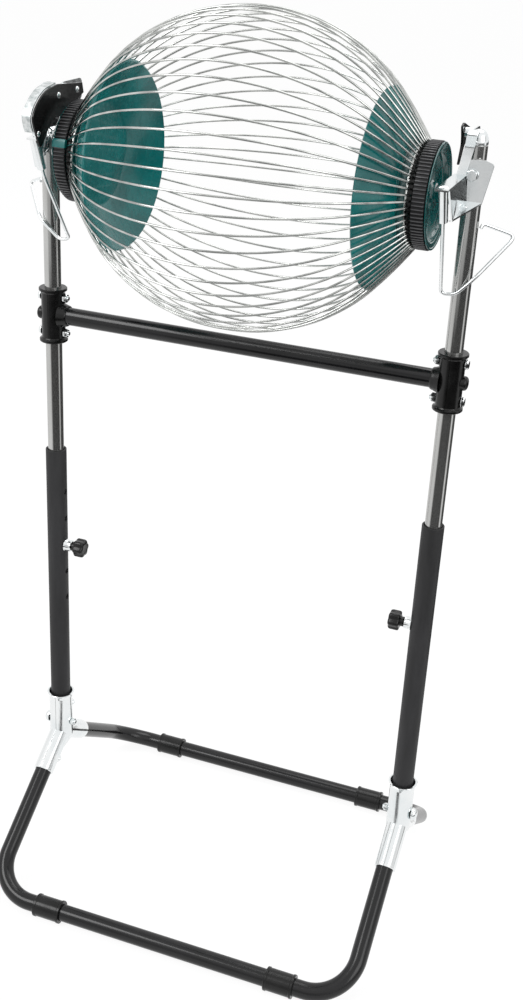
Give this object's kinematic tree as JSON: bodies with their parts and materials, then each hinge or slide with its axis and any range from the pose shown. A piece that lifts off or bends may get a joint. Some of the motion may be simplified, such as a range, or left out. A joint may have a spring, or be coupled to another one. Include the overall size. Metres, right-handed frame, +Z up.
{
  "type": "tennis ball hopper",
  "caption": "Rolling wire cage that gathers and holds tennis balls, carried by hub cradles between sliding posts on a tubular floor stand.",
  "frame": {"origin": "on the floor, midway between the posts and under the stand's centre", "axes": "+Z up, +X along the cage axle towards the right post, +Y towards the rear"},
  "size_m": [0.5001, 0.3652, 0.9752],
  "materials": {
    "black_steel": "satin powder coat",
    "black_plastic": "moulded matte",
    "chrome": "mirror",
    "grip_rubber": "ribbed",
    "teal_plastic": "moulded gloss",
    "cage_wire": "bright drawn wire",
    "zinc_steel": "bright zinc plate"
  },
  "bodies": {
    "stand": {"right_front_leg": "black_steel", "right_rear_leg": "black_steel", "right_front_sleeve": "black_plastic", "right_rear_sleeve": "black_plastic", "right_bracket_outer_shell": "zinc_steel", "right_bracket_inner_shell": "zinc_steel", "right_bracket_bolt_1": "zinc_steel", "right_bracket_bolt_2": "zinc_steel", "right_bracket_bolt_3": "zinc_steel", "right_lower_post": "black_steel", "right_knob_bushing": "zinc_steel", "left_front_leg": "black_steel", "left_rear_leg": "black_steel", "left_front_sleeve": "black_plastic", "left_rear_sleeve": "black_plastic", "left_bracket_outer_shell": "zinc_steel", "left_bracket_inner_shell": "zinc_steel", "left_bracket_bolt_1": "zinc_steel", "left_bracket_bolt_2": "zinc_steel", "left_bracket_bolt_3": "zinc_steel", "left_lower_post": "black_steel", "left_knob_bushing": "zinc_steel", "front_bar": "black_steel", "rear_bar": "black_steel"},
    "upper_frame": {"right_chrome_post": "chrome", "right_post_cap": "zinc_steel", "right_clamp_outer_shell": "black_plastic", "right_clamp_inner_shell": "black_plastic", "right_clamp_lower_bolt": "zinc_steel", "right_clamp_upper_bolt": "zinc_steel", "right_cradle": "zinc_steel", "right_flange_bolt": "zinc_steel", "left_chrome_post": "chrome", "left_post_cap": "zinc_steel", "left_clamp_outer_shell": "black_plastic", "left_clamp_inner_shell": "black_plastic", "left_clamp_lower_bolt": "zinc_steel", "left_clamp_upper_bolt": "zinc_steel", "left_cradle": "zinc_steel", "left_flange_bolt": "zinc_steel", "cross_bar": "black_steel", "right_keeper_plate": "black_steel", "left_latch_spring": "zinc_steel"},
    "cage": {"right_dish": "teal_plastic", "right_hub": "teal_plastic", "right_band": "grip_rubber", "left_dish": "teal_plastic", "left_hub": "teal_plastic", "left_band": "grip_rubber", "cage_wires_upper_rear": "cage_wire", "cage_wires_upper_front": "cage_wire", "cage_wires_lower_front": "cage_wire", "cage_wires_lower_rear": "cage_wire"},
    "left_latch": {"left_latch_plate": "black_steel", "left_latch_guard": "zinc_steel"},
    "left_bail": {"left_bail": "zinc_steel"},
    "right_bail": {"right_bail": "zinc_steel"},
    "left_knob": {"left_knob": "black_plastic"},
    "right_knob": {"right_knob": "black_plastic"}
  },
  "joints": [
    {"name": "height_adjust", "type": "slide", "parent": "stand", "child": "upper_frame", "axis": [0, 0, 1], "range_m": [-0.067, 0.067]},
    {"name": "cage_spin", "type": "hinge", "parent": "upper_frame", "child": "cage", "pos_m": [0, -0.0033, 0.826], "axis": [1, 0, 0], "continuous": true},
    {"name": "left_latch_lift", "type": "hinge", "parent": "upper_frame", "child": "left_latch", "pos_m": [-0.191, 0.014, 0.8815], "axis": [-1, 0, 0], "range_deg": [0, 45], "stiffness_Nm_per_rad": 0.08, "springref_deg": -17.19, "deforming": ["left_latch_spring"]},
    {"name": "right_bail_swing", "type": "hinge", "parent": "upper_frame", "child": "right_bail", "pos_m": [0.1983, -0.057, 0.8448], "axis": [0, 0.3867, -0.9222], "range_deg": [0, 100]},
    {"name": "left_bail_swing", "type": "hinge", "parent": "upper_frame", "child": "left_bail", "pos_m": [-0.1983, -0.057, 0.8448], "axis": [0, -0.3867, 0.9222], "range_deg": [0, 100]},
    {"name": "right_knob_turn", "type": "hinge", "parent": "stand", "child": "right_knob", "pos_m": [0.19, 0, 0.3825], "axis": [-1, 0, 0], "continuous": true},
    {"name": "left_knob_turn", "type": "hinge", "parent": "stand", "child": "left_knob", "pos_m": [-0.19, 0, 0.3825], "axis": [1, 0, 0], "continuous": true}
  ]
}
